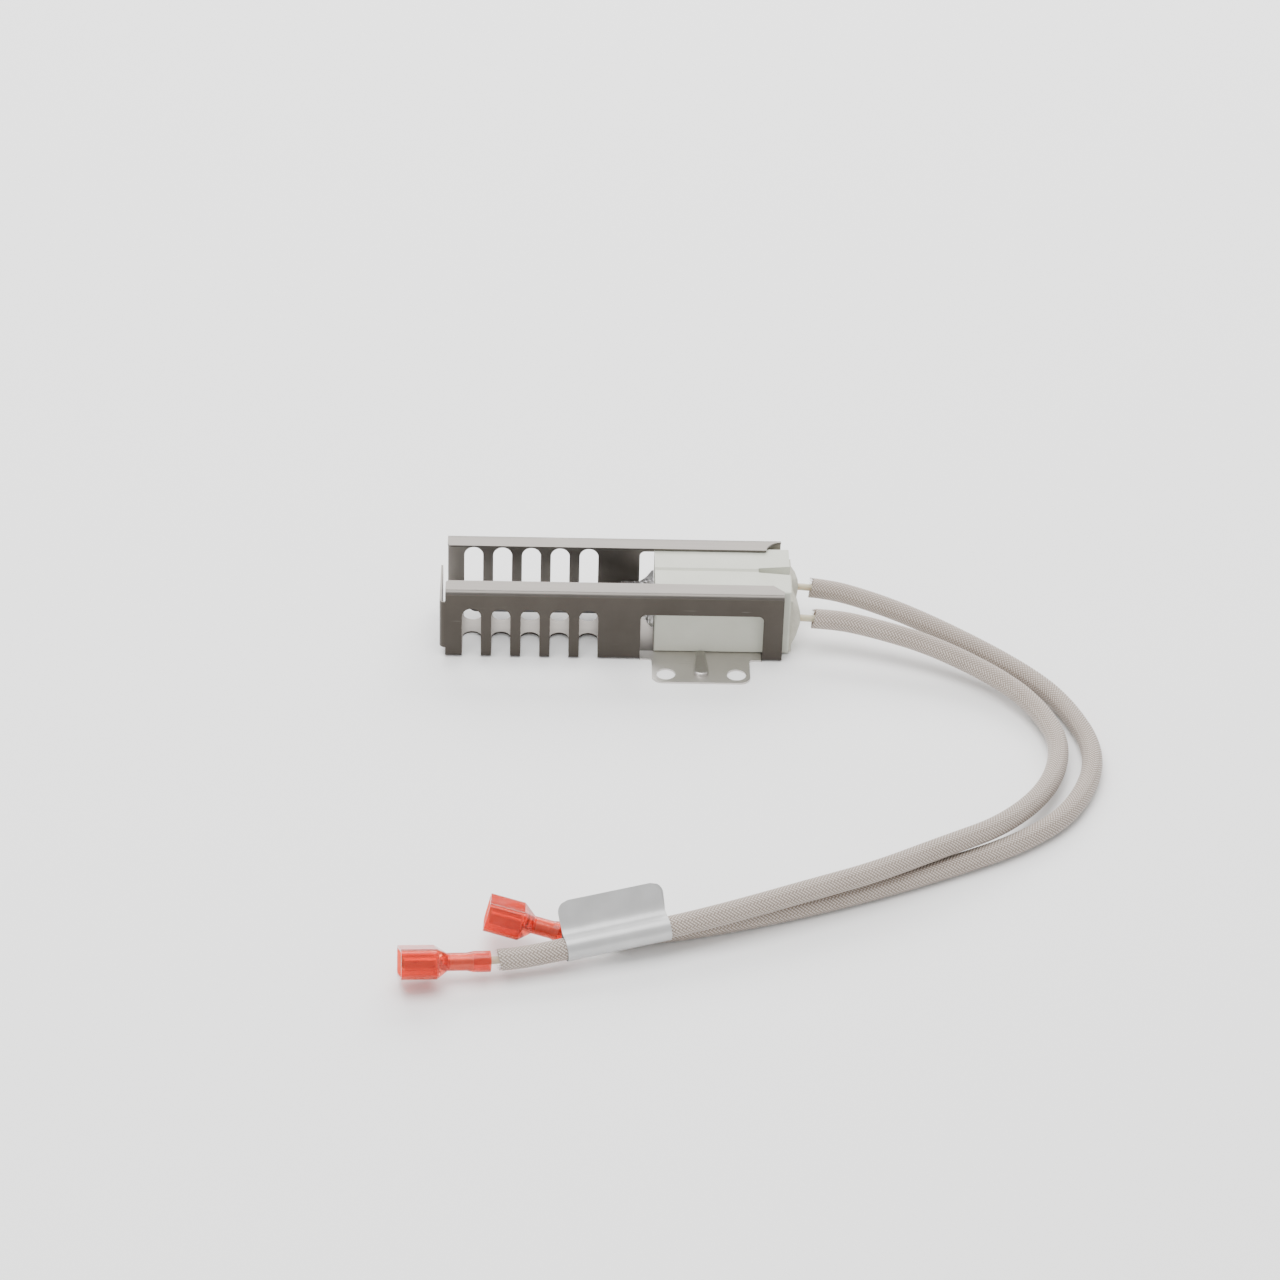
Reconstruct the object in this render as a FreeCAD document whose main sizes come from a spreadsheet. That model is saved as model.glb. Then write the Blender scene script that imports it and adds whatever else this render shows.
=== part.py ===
# Hot-surface oven igniter: slotted stainless cage, steatite holder, silicon carbide element,
# two sleeved leads with insulated push-on terminals and a wrap-round flag label.
# Millimetres, +Z up. The origin is midway between the two screw holes, on the underside
# of the mounting tab, which is level with the cage floor.
import FreeCAD, Part

import math
import os
import re

import Sketcher

DIMENSIONS = {
    # sheet metal cage
    "sheet": 0.5,
    "bend": 1.25,
    "cage_left": -66.7,
    "cage_right": 21.2,
    "cage_front": 6.95,
    "cage_width": 27.8,
    "cage_height": 20.3,
    "lip": 5.5,
    "slot_pitch": 7.62,
    "slot_width": 4.95,
    "slot_first": 4.34,
    "slot_top_front": 15.1,
    "slot_top_rear": 16.6,
    "slot_end_front": 11.5,
    "slot_end_rear": 17.15,
    "window_left": -15.95,
    "window_right": 16.05,
    "window_top_front": 14.1,
    "window_top_rear": 16.1,
    "window_sill_rear": 3.0,
    "window_corner": 1.4,
    "lip_end_cut": 4.0,
    "lip_chamfer": 2.75,
    "lip_corner": 1.0,
    "flap_bottom": 3.0,
    "flap_top": 17.0,
    "flap_reach": 18.8,
    "flap_out": 1.5,
    "flap_bend": 1.4,
    "flap_corner": 1.5,
    # mounting tab
    "tab_left": -12.8,
    "tab_right": 12.75,
    "tab_front": -3.65,
    "tab_corner": 2.8,
    "tab_root": 0.9,
    "screw_spacing": 18.4,
    "screw_hole": 4.98,
    "bead_front": -1.0,
    "bead_back": 10.0,
    "bead_wide": 4.4,
    "bead_narrow": 2.4,
    "bead_rise": 0.9,
    "bead_round": 0.55,
    # ceramic holder, two halves on the centre plane
    "block_left": -12.25,
    "block_right": 23.1,
    "block_bottom": 0.5,
    "block_top": 19.5,
    "block_half": 10.5,
    "centre_line": 20.85,
    "block_edge": 0.5,
    "seam_half": 0.7,
    "seam_depth": 0.6,
    "wedge_start": 14.9,
    "wedge_small": 1.05,
    "wedge_large": 2.0,
    "wedge_depth": 2.5,
    "chamber_left": -7.0,
    "chamber_right": 18.0,
    "chamber_low": 7.2,
    "chamber_high": 13.0,
    "chamber_side": 9.5,
    "lead_height": 10.0,
    "lead_pitch": 15.1,
    "wire_bore": 2.3,
    # silicon carbide element
    "element_tip": -60.7,
    "element_end": -3.0,
    "element_wide": 10.9,
    "element_thick": 2.5,
    "element_corner": 2.2,
    "slit": 0.9,
    "slit_end": -54.5,
    # contact clips and splices
    "clip_left": -21.0,
    "clip_right": -2.0,
    "clip_sheet": 0.35,
    "clip_grip": 4.2,
    "wing_left": -16.2,
    "wing_right": -12.45,
    "wing_rise": 4.0,
    "splice_left": 4.0,
    "splice_right": 12.0,
    "splice_outer": 3.6,
    "strap_sheet": 0.4,
    # cement
    "front_cement_reach": 3.2,
    "hump_plate": 0.6,
    "hump_rise": 2.1,
    "hump_top": 3.2,
    "hump_margin": 0.8,
    "hump_corner": 1.6,
    # leads
    "wire_outer": 1.85,
    "sleeve_outer": 5.3,
    "sleeve_inner": 3.9,
    "sleeve_start": 12.1,
    "front_sleeve_stop": 10.2,
    "rear_sleeve_stop": 18.0,
    # insulated push-on terminals, seated on the last run of each lead
    "lead_grip": 8.0,
    "shell_length": 21.4,
    "shell_wide": 9.9,
    "shell_thick": 7.2,
    "shell_corner": 1.5,
    "shell_wall": 0.65,
    "mouth_length": 8.4,
    "shoulder_end": 11.2,
    "neck_outer": 4.3,
    "flare_start": 15.9,
    "flare_end": 17.4,
    "barrel_outer": 5.0,
    "ferrule_outer": 3.4,
    "crimp_outer": 2.7,
    "entry_bore": 4.0,
    "entry_depth": 3.6,
    "receptacle_wide": 7.6,
    "receptacle_sheet": 0.4,
    "receptacle_high": 3.0,
    "receptacle_front": 0.8,
    "receptacle_back": 8.2,
    "curl_gap": 1.2,
    "neck_half": 0.7,
    # label
    "label_length": 25.4,
    "label_start": 26.0,
    "label_sheet": 0.16,
    "label_bore": 5.66,
    "flag_reach": 8.2,
    "flag_corner": 2.9,
    "flag_tilt": 50.0,
}

# Routes of the two leads from inside the holder to inside the terminals.
REAR_ROUTE = [
    (17.3, 28.4, 10.0),
    (31.0, 28.4, 10.0),
    (46.0, 22.4, 9.2),
    (61.0, 14.4, 7.3),
    (81.4, 0.0, 4.4),
    (93.2, -14.0, 3.1),
    (99.9, -37.4, 2.75),
    (91.4, -60.6, 2.75),
    (77.0, -74.2, 2.75),
    (59.0, -84.2, 2.75),
    (38.6, -94.4, 2.75),
    (15.0, -104.0, 2.75),
    (-6.0, -110.5, 2.75),
    (-18.5, -112.9, 2.75),
    (-29.3, -116.1, 3.5),
    (-40.4, -115.0, 6.3),
]
FRONT_ROUTE = [
    (17.3, 13.3, 10.0),
    (33.0, 13.3, 10.0),
    (46.0, 9.8, 9.2),
    (61.0, 4.4, 7.5),
    (78.5, -7.6, 5.0),
    (87.0, -20.0, 4.0),
    (90.6, -34.6, 3.7),
    (85.6, -54.0, 4.7),
    (73.0, -71.8, 6.6),
    (57.0, -83.0, 8.0),
    (39.3, -94.4, 8.35),
    (24.0, -101.4, 8.3),
    (8.0, -108.6, 7.9),
    (-8.0, -114.8, 7.25),
    (-36.0, -123.1, 5.8),
    (-49.3, -126.5, 5.0),
    (-60.2, -127.9, 5.7),
]

doc = FreeCAD.newDocument("hot_surface_igniter")
sizes = doc.addObject("Spreadsheet::Sheet", "sizes")
for row, (name, number) in enumerate(DIMENSIONS.items(), start=1):
    sizes.set(f"A{row}", name)
    sizes.set(f"B{row}", str(number))
    sizes.setAlias(f"B{row}", name)
doc.recompute()

nodes = []


def linked(formula):
    """A formula in the sheet's own words, as an expression that any object can use."""
    return re.sub(r"[a-z][a-z_]*", r"sizes.\g<0>", formula)


def mm(formula):
    """The present value of a formula in the sheet's words."""
    answer = sizes.evalExpression(linked(formula))
    return float(getattr(answer, "Value", answer))


def keep(label, thing, placement=None):
    thing.Label = label
    if placement is not None:
        thing.Placement = placement
    nodes.append(thing)
    return thing


# ---------------------------------------------------------------- PartDesign helpers

def new_body(name):
    return doc.addObject("PartDesign::Body", name)


def new_sketch(body, name, plane, height=None):
    sketch = body.newObject("Sketcher::SketchObject", name)
    origin = next(item for item in body.Origin.OriginFeatures if item.Role == plane)
    sketch.AttachmentSupport = [(origin, "")]
    sketch.MapMode = "FlatFace"
    if height:
        sketch.setExpression("AttachmentOffset.Base.z", linked(height))
    return sketch


def fix_point(sketch, edge, end, place):
    """Hold one point of a sketch at a place given by two formulas."""
    for kind, formula in zip(("DistanceX", "DistanceY"), place):
        index = sketch.addConstraint(Sketcher.Constraint(kind, -1, 1, edge, end, mm(formula)))
        sketch.setExpression(f"Constraints[{index}]", linked(formula))


def outline(sketch, corners):
    """A closed polygon whose corners are pairs of formulas."""
    points = [FreeCAD.Vector(mm(across), mm(up), 0) for across, up in corners]
    count = len(points)
    first = sketch.GeometryCount
    for here, there in zip(points, points[1:] + points[:1]):
        sketch.addGeometry(Part.LineSegment(here, there))
    for step in range(count):
        after = first + (step + 1) % count
        sketch.addConstraint(Sketcher.Constraint("Coincident", first + step, 2, after, 1))
        fix_point(sketch, first + step, 1, corners[step])
    return sketch


def circle(sketch, across, up, radius):
    centre = FreeCAD.Vector(mm(across), mm(up), 0)
    edge = sketch.addGeometry(Part.Circle(centre, FreeCAD.Vector(0, 0, 1), mm(radius)))
    fix_point(sketch, edge, 3, (across, up))
    index = sketch.addConstraint(Sketcher.Constraint("Radius", edge, mm(radius)))
    sketch.setExpression(f"Constraints[{index}]", linked(radius))
    return sketch


def round_ended_slot(sketch, across, open_end, round_end, width):
    """A slot with one round end; its straight end runs out past the metal."""
    half = mm(width) / 2
    middle = mm(across)
    low = mm(open_end)
    toward = 1 if mm(round_end) > low else -1
    high = mm(round_end) - toward * half
    corner = [FreeCAD.Vector(middle + side * half, up, 0) for side, up in
              ((-1, high), (-1, low), (1, low), (1, high))]
    crown = FreeCAD.Vector(middle, mm(round_end), 0)
    first = sketch.GeometryCount
    for here, there in zip(corner, corner[1:]):
        sketch.addGeometry(Part.LineSegment(here, there))
    sketch.addGeometry(Part.Arc(corner[3], crown, corner[0]))
    arc = first + 3
    for step in range(2):
        sketch.addConstraint(Sketcher.Constraint("Coincident", first + step, 2, first + step + 1, 1))
    # Part.Arc is stored anticlockwise, so its start is whichever end comes first that way.
    near, far = (1, 2) if toward > 0 else (2, 1)
    sketch.addConstraint(Sketcher.Constraint("Coincident", first + 2, 2, arc, near))
    sketch.addConstraint(Sketcher.Constraint("Coincident", first, 1, arc, far))
    sign = "-" if toward > 0 else "+"
    straight = f"{round_end} {sign} {width} / 2"
    fix_point(sketch, first, 1, (f"{across} - {width} / 2", straight))
    fix_point(sketch, first + 1, 1, (f"{across} - {width} / 2", open_end))
    fix_point(sketch, first + 2, 1, (f"{across} + {width} / 2", open_end))
    fix_point(sketch, first + 2, 2, (f"{across} + {width} / 2", straight))
    index = sketch.addConstraint(Sketcher.Constraint("DistanceY", -1, 1, arc, 3, high))
    sketch.setExpression(f"Constraints[{index}]", linked(straight))
    return sketch


def soft_rectangle(sketch, wide, thick, corner):
    """A centred rectangle with round corners, as eight joined edges."""
    half_wide, half_thick, radius = mm(wide) / 2, mm(thick) / 2, mm(corner)
    spots = []
    for across, up, start in ((1, 1, 0), (-1, 1, 90), (-1, -1, 180), (1, -1, 270)):
        centre = FreeCAD.Vector(across * (half_wide - radius), up * (half_thick - radius), 0)
        spots.append((centre, math.radians(start), across, up))
    for step, (centre, start, across, up) in enumerate(spots):
        round_corner = Part.Circle(centre, FreeCAD.Vector(0, 0, 1), radius)
        sketch.addGeometry(Part.ArcOfCircle(round_corner, start, start + math.pi / 2))
    for step in range(4):
        here = sketch.getPoint(step, 2)
        there = sketch.getPoint((step + 1) % 4, 1)
        sketch.addGeometry(Part.LineSegment(here, there))
    for step in range(4):
        line = 4 + step
        sketch.addConstraint(Sketcher.Constraint("Tangent", step, 2, line, 1))
        sketch.addConstraint(Sketcher.Constraint("Tangent", line, 2, (step + 1) % 4, 1))
    for step, (centre, start, across, up) in enumerate(spots):
        words = [f"{'' if sign > 0 else '0 - '}(({size}) / 2 - ({corner}))"
                 for sign, size in ((across, wide), (up, thick))]
        fix_point(sketch, step, 3, words)
    index = sketch.addConstraint(Sketcher.Constraint("Radius", 0, radius))
    sketch.setExpression(f"Constraints[{index}]", linked(corner))
    return sketch


def pad(body, sketch, depth, reverse=False, both=False):
    feature = body.newObject("PartDesign::Pad", sketch.Name + "_pad")
    feature.Profile = sketch
    feature.setExpression("Length", linked(depth))
    feature.Reversed = reverse
    feature.Midplane = both
    doc.recompute()
    return feature


def pocket(body, sketch, depth, reverse=False, both=False):
    before = body.Shape.Volume
    feature = body.newObject("PartDesign::Pocket", sketch.Name + "_cut")
    feature.Profile = sketch
    feature.setExpression("Length", linked(depth))
    feature.Reversed = reverse
    feature.Midplane = both
    doc.recompute()
    assert body.Shape.Volume < before - 1e-4, f"{sketch.Name} cuts nothing"
    return feature


def edges_where(shape, test):
    return [f"Edge{number}" for number, edge in enumerate(shape.Edges, start=1) if test(edge)]


def runs_along(edge, axis):
    """True for a straight edge parallel to the axis with this letter."""
    if edge.Curve.TypeId != "Part::GeomLine":
        return False
    return abs(getattr(edge.tangentAt(edge.FirstParameter), axis)) > 0.999


def dress(body, kind, name, size, test):
    """A fillet or chamfer on the edges of the body's newest feature that pass the test."""
    base = body.Tip
    feature = body.newObject(f"PartDesign::{kind}", name)
    feature.Base = (base, edges_where(base.Shape, test))
    feature.setExpression("Radius" if kind == "Fillet" else "Size", linked(size))
    doc.recompute()
    return feature


def near(value, formula, slack=0.02):
    return abs(value - mm(formula)) < slack


def middle(edge):
    return edge.BoundBox.Center


def box(name, low, high):
    """A box between two corners given as formulas."""
    block = doc.addObject("Part::Box", name)
    for field, axis, small, large in zip(("Length", "Width", "Height"), "xyz", low, high):
        block.setExpression(field, linked(f"({large}) - ({small})"))
        block.setExpression(f"Placement.Base.{axis}", linked(small))
    doc.recompute()
    return block


def rod_along_x(name, radius, start, end, across, up):
    rod = doc.addObject("Part::Cylinder", name)
    rod.Placement = FreeCAD.Placement(FreeCAD.Vector(), FreeCAD.Rotation(FreeCAD.Vector(0, 1, 0), 90))
    rod.setExpression("Radius", linked(radius))
    rod.setExpression("Height", linked(f"({end}) - ({start})"))
    for axis, formula in zip("xyz", (start, across, up)):
        rod.setExpression(f"Placement.Base.{axis}", linked(formula))
    doc.recompute()
    return rod


# ---------------------------------------------------------------- cage

def slot_row(body, name, wall_sketch, floor_sketch):
    """One slot cut down a wall and round its bend into the floor, repeated along the cage."""
    wall = pocket(body, wall_sketch, "bend", reverse=name.startswith("front"))
    floor = pocket(body, floor_sketch, "bend", reverse=True)
    row = body.newObject("PartDesign::LinearPattern", name)
    row.Originals = [wall, floor]
    along = next(item for item in body.Origin.OriginFeatures if item.Role == "X_Axis")
    row.Direction = (along, [""])
    row.setExpression("Length", linked("slot_pitch * 4"))
    row.Occurrences = 5
    body.Tip = row
    doc.recompute()
    return row


def stands_on_sheet(edge):
    """True for an upright edge of the bead."""
    return runs_along(edge, "z") and near(middle(edge).z, "sheet + bead_rise / 2", 0.1)


def make_cage():
    body = new_body("cage")
    rear = "cage_front + cage_width"

    section = outline(new_sketch(body, "cage_section", "YZ_Plane", "cage_left"), [
        ("cage_front", "0"), (rear, "0"), (rear, "cage_height"), ("cage_front", "cage_height")])
    pad(body, section, "cage_right - cage_left")
    dress(body, "Fillet", "bends", "bend", lambda edge: runs_along(edge, "x"))

    hollow = body.newObject("PartDesign::Thickness", "sheet_metal")
    bent = hollow.BaseFeature or doc.getObject("bends")
    ends = [f"Face{number}" for number, face in enumerate(bent.Shape.Faces, start=1)
            if abs(face.normalAt(0, 0).x) > 0.999]
    hollow.Base = (bent, ends)
    hollow.setExpression("Value", linked("sheet"))
    hollow.Reversed = True
    doc.recompute()

    mouth = outline(new_sketch(body, "mouth", "XY_Plane", "cage_height - 2 * sheet"), [
        ("cage_left - 1", "cage_front + lip"), ("cage_right + 1", "cage_front + lip"),
        ("cage_right + 1", rear + " - lip"), ("cage_left - 1", rear + " - lip")])
    pocket(body, mouth, "sheet * 3", reverse=True)

    slot_centre = "cage_left + slot_first + slot_width / 2"
    front_wall = round_ended_slot(
        new_sketch(body, "front_slot", "XZ_Plane", "0 - cage_front - bend"),
        slot_centre, "0 - 1", "slot_top_front", "slot_width")
    front_floor = round_ended_slot(
        new_sketch(body, "front_floor_slot", "XY_Plane", "0 - sheet / 2"),
        slot_centre, "cage_front + bend / 2", "cage_front + slot_end_front", "slot_width")
    slot_row(body, "front_slots", front_wall, front_floor)
    rear_wall = round_ended_slot(
        new_sketch(body, "rear_slot", "XZ_Plane", "0 - cage_front - cage_width + bend"),
        slot_centre, "0 - 1", "slot_top_rear", "slot_width")
    rear_floor = round_ended_slot(
        new_sketch(body, "rear_floor_slot", "XY_Plane", "0 - sheet / 2"),
        slot_centre, rear + " - bend / 2", "cage_front + slot_end_rear", "slot_width")
    slot_row(body, "rear_slots", rear_wall, rear_floor)

    front_window = outline(
        new_sketch(body, "front_window", "XZ_Plane", "0 - cage_front - bend"), [
            ("window_left", "0 - 1"), ("window_right", "0 - 1"),
            ("window_right", "window_top_front"), ("window_left", "window_top_front")])
    pocket(body, front_window, "bend * 2", reverse=True)
    rear_window = outline(
        new_sketch(body, "rear_window", "XZ_Plane", "0 - cage_front - cage_width + bend"), [
            ("window_left", "window_sill_rear"), ("window_right", "window_sill_rear"),
            ("window_right", "window_top_rear"), ("window_left", "window_top_rear")])
    pocket(body, rear_window, "bend * 2")
    dress(body, "Fillet", "window_corners", "window_corner", lambda edge: (
        runs_along(edge, "y") and edge.Length < mm("sheet") * 1.5
        and (near(middle(edge).x, "window_left") or near(middle(edge).x, "window_right"))))

    rear_end = circle(new_sketch(body, "rear_lip_end", "XY_Plane", "cage_height - 2 * sheet"),
                      "cage_right", rear + " - lip", "lip_end_cut")
    pocket(body, rear_end, "sheet * 3", reverse=True)
    front_end = outline(new_sketch(body, "front_lip_end", "XY_Plane", "cage_height - 2 * sheet"), [
        ("cage_right - lip_chamfer", "cage_front + lip"),
        ("cage_right", "cage_front + lip - lip_chamfer"),
        ("cage_right + 1", "cage_front + lip + 1"),
        ("cage_right - lip_chamfer", "cage_front + lip + 1")])
    pocket(body, front_end, "sheet * 3", reverse=True)
    dress(body, "Fillet", "lip_corners", "lip_corner", lambda edge: (
        runs_along(edge, "z") and edge.Length < mm("sheet") * 1.1
        and near(middle(edge).x, "cage_left")))

    flap = outline(new_sketch(body, "flap", "XY_Plane", "flap_bottom"), [
        ("cage_left + 1", "cage_front"), ("cage_left - flap_out", "cage_front"),
        ("cage_left - flap_out", "cage_front + flap_reach"),
        ("cage_left - flap_out + sheet", "cage_front + flap_reach"),
        ("cage_left - flap_out + sheet", "cage_front + sheet"),
        ("cage_left + 1", "cage_front + sheet")])
    pad(body, flap, "flap_top - flap_bottom")
    dress(body, "Fillet", "flap_bend_outside", "flap_bend", lambda edge: (
        runs_along(edge, "z") and near(middle(edge).x, "cage_left - flap_out")
        and near(middle(edge).y, "cage_front")))
    dress(body, "Fillet", "flap_bend_inside", "flap_bend - sheet", lambda edge: (
        runs_along(edge, "z") and near(middle(edge).x, "cage_left - flap_out + sheet")
        and near(middle(edge).y, "cage_front + sheet")))
    dress(body, "Fillet", "flap_corners", "flap_corner", lambda edge: (
        runs_along(edge, "x") and near(middle(edge).y, "cage_front + flap_reach")))

    tab = outline(new_sketch(body, "tab", "XY_Plane"), [
        ("window_left", "cage_front + bend + sheet"), ("window_left", "cage_front"),
        ("tab_left", "cage_front"), ("tab_left", "tab_front"),
        ("tab_right", "tab_front"), ("tab_right", "cage_front"),
        ("window_right", "cage_front"), ("window_right", "cage_front + bend + sheet")])
    pad(body, tab, "sheet")
    dress(body, "Fillet", "tab_corners", "tab_corner", lambda edge: (
        runs_along(edge, "z") and near(middle(edge).y, "tab_front")))
    dress(body, "Fillet", "tab_roots", "tab_root", lambda edge: (
        runs_along(edge, "z") and near(middle(edge).y, "cage_front")
        and edge.Length < mm("sheet") * 1.1
        and (near(middle(edge).x, "tab_left") or near(middle(edge).x, "tab_right"))))

    holes = new_sketch(body, "screw_holes", "XY_Plane", "0 - sheet / 2")
    circle(holes, "0 - screw_spacing / 2", "0", "screw_hole / 2")
    circle(holes, "screw_spacing / 2", "0", "screw_hole / 2")
    pocket(body, holes, "sheet * 2", reverse=True)

    bead = outline(new_sketch(body, "bead", "XY_Plane", "sheet / 2"), [
        ("0 - bead_wide / 2", "bead_front"), ("bead_wide / 2", "bead_front"),
        ("bead_narrow / 2", "bead_back"), ("0 - bead_narrow / 2", "bead_back")])
    pad(body, bead, "sheet / 2 + bead_rise")
    dress(body, "Fillet", "bead_nose", "bead_wide / 2 - 0.25", lambda edge: (
        stands_on_sheet(edge) and near(middle(edge).y, "bead_front")))
    dress(body, "Fillet", "bead_tail", "bead_narrow / 2 - 0.15", lambda edge: (
        stands_on_sheet(edge) and near(middle(edge).y, "bead_back")))
    dress(body, "Fillet", "bead_crown", "bead_round", lambda edge: (
        near(edge.BoundBox.ZMin, "sheet + bead_rise") and near(edge.BoundBox.ZMax, "sheet + bead_rise")))
    under = outline(new_sketch(body, "bead_hollow", "XY_Plane"), [
        ("0 - bead_wide / 2 + sheet * 1.2", "bead_front + sheet * 1.4"),
        ("bead_wide / 2 - sheet * 1.2", "bead_front + sheet * 1.4"),
        ("bead_narrow / 2 - sheet * 0.8", "bead_back - sheet * 1.2"),
        ("0 - bead_narrow / 2 + sheet * 0.8", "bead_back - sheet * 1.2")])
    pocket(body, under, "bead_rise", reverse=True)
    return keep("cage", body)


# ---------------------------------------------------------------- ceramic holder

def make_block_half(label, side):
    """side is -1 for the front half and 1 for the rear half."""
    body = new_body(label)
    sign = "-" if side < 0 else "+"
    face = f"centre_line {sign} block_half"

    def out(distance):
        return f"centre_line {sign} ({distance})"

    plan = outline(new_sketch(body, label + "_plan", "XY_Plane", "block_bottom"), [
        ("block_left", "centre_line"), ("block_right", "centre_line"),
        ("block_right", face), ("block_left", face)])
    pad(body, plan, "block_top - block_bottom")
    dress(body, "Fillet", label + "_edges", "block_edge", lambda edge: (
        (runs_along(edge, "x") or runs_along(edge, "z")) and near(middle(edge).y, face)))

    chamber = outline(new_sketch(body, label + "_chamber", "XY_Plane", "chamber_low"), [
        ("chamber_left", "centre_line"), ("chamber_right", "centre_line"),
        ("chamber_right", out("chamber_side")), ("chamber_left", out("chamber_side"))])
    pocket(body, chamber, "chamber_high - chamber_low", reverse=True)

    grip = "element_wide / 2 + clip_sheet"
    throat = outline(new_sketch(body, label + "_throat", "YZ_Plane", "block_left"), [
        ("centre_line", "lead_height - element_thick / 2 - clip_sheet"),
        (out(grip), "lead_height - element_thick / 2 - clip_sheet"),
        (out(grip), "lead_height + element_thick / 2 + clip_sheet"),
        ("centre_line", "lead_height + element_thick / 2 + clip_sheet")])
    pocket(body, throat, "chamber_left - block_left", reverse=True)

    bore = circle(new_sketch(body, label + "_bore", "YZ_Plane", "chamber_right"),
                  out("lead_pitch / 2"), "lead_height", "wire_bore / 2")
    pocket(body, bore, "block_right - chamber_right", reverse=True)

    seam = outline(new_sketch(body, label + "_seam", "YZ_Plane", "block_left"), [
        ("centre_line", "block_top - seam_depth"), (out("seam_half"), "block_top"),
        (out("seam_half"), "block_top + 1"), ("centre_line", "block_top + 1")])
    pocket(body, seam, "block_right - block_left", reverse=True)

    wedge = outline(new_sketch(body, label + "_wedge", "XY_Plane", "block_top - wedge_depth"), [
        ("wedge_start", "centre_line"), ("wedge_start", out("wedge_small")),
        ("block_right", out("wedge_large")), ("block_right", "centre_line")])
    pocket(body, wedge, "wedge_depth + 1", reverse=True)
    return keep(label, body)


# ---------------------------------------------------------------- element, clips, splices

def make_element():
    body = new_body("igniter_element")
    plan = outline(new_sketch(body, "element_plan", "XY_Plane", "lead_height - element_thick / 2"), [
        ("element_tip", "centre_line - element_wide / 2"),
        ("element_end", "centre_line - element_wide / 2"),
        ("element_end", "centre_line + element_wide / 2"),
        ("element_tip", "centre_line + element_wide / 2")])
    pad(body, plan, "element_thick")
    dress(body, "Fillet", "tip_corners", "element_corner", lambda edge: (
        runs_along(edge, "z") and near(middle(edge).x, "element_tip")))
    # The slot runs up the middle, so that the current goes out along one leg and back by the other.
    slot = new_sketch(body, "element_slit", "XY_Plane", "lead_height - element_thick")
    outline(slot, [
        ("slit_end", "centre_line - slit / 2"), ("element_end + 1", "centre_line - slit / 2"),
        ("element_end + 1", "centre_line + slit / 2"), ("slit_end", "centre_line + slit / 2")])
    pocket(body, slot, "element_thick * 2", reverse=True)
    return keep("igniter_element", body)


def make_clip(label, side):
    """A folded clip on the outer edge of one leg; the two clips are one part, turned over."""
    body = new_body(label)
    sign = "-" if side < 0 else "+"
    back = "+" if side < 0 else "-"
    edge_line = f"centre_line {sign} element_wide / 2"
    outside = f"{edge_line} {sign} clip_sheet"
    inner_end = f"{edge_line} {back} clip_grip"
    low = "lead_height - element_thick / 2"
    high = "lead_height + element_thick / 2"
    fold = outline(new_sketch(body, label + "_fold", "YZ_Plane", "clip_left"), [
        (inner_end, high), (inner_end, high + " + clip_sheet"),
        (outside, high + " + clip_sheet"), (outside, low + " - clip_sheet"),
        (inner_end, low + " - clip_sheet"), (inner_end, low),
        (edge_line, low), (edge_line, high)])
    pad(body, fold, "clip_right - clip_left")
    root = f"{high} - clip_sheet" if side > 0 else f"{low} + clip_sheet"
    tip = f"{high} + wing_rise" if side > 0 else f"{low} - wing_rise"
    shelf = f"{high} + clip_sheet" if side > 0 else f"{low} - clip_sheet"
    wing = outline(new_sketch(body, label + "_wing", "XZ_Plane", f"0 - ({edge_line})"), [
        ("wing_left", root), ("wing_right", root), ("wing_right", tip),
        ("wing_right - 0.5", tip), ("wing_left + 2.2", f"({shelf} + {tip}) / 2"),
        ("wing_left", shelf)])
    pad(body, wing, "clip_sheet", reverse=side > 0)
    return keep(label, body)


def make_splice(label, side):
    """The crimped barrel on the lead's bare end, with a strap welded to the clip."""
    sign = "-" if side < 0 else "+"
    across = f"centre_line {sign} lead_pitch / 2"
    span = ("splice_left", "splice_right", across, "lead_height")
    barrel = rod_along_x(label + "_barrel", "splice_outer / 2", *span)
    bore = rod_along_x(label + "_bore", "wire_outer / 2", *span)
    body = new_body(label + "_strap")
    shelf = "lead_height + element_thick / 2 + clip_sheet"
    plan = outline(new_sketch(body, label + "_strap_plan", "XY_Plane", shelf), [
        ("clip_right - 5", f"centre_line {sign} 2"), ("clip_right", f"centre_line {sign} 2"),
        ("splice_right - 2", f"centre_line {sign} (lead_pitch / 2 - 1.3)"),
        ("splice_right - 2", f"centre_line {sign} (lead_pitch / 2 + 1.3)"),
        ("splice_left", f"centre_line {sign} (lead_pitch / 2 + 1.3)"),
        ("clip_right - 5", f"centre_line {sign} (element_wide / 2 - 0.3)")])
    pad(body, plan, "strap_sheet")
    joined = doc.addObject("Part::MultiFuse", label + "_joined")
    joined.Shapes = [barrel, body]
    splice = doc.addObject("Part::Cut", label)
    splice.Base = joined
    splice.Tool = bore
    doc.recompute()
    return keep(label, splice)


# ---------------------------------------------------------------- cement

def moved(sketch, across, up):
    """The same sketch with its own origin moved within its plane."""
    sketch.setExpression("AttachmentOffset.Base.x", linked(across))
    sketch.setExpression("AttachmentOffset.Base.y", linked(up))
    return sketch


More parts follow.
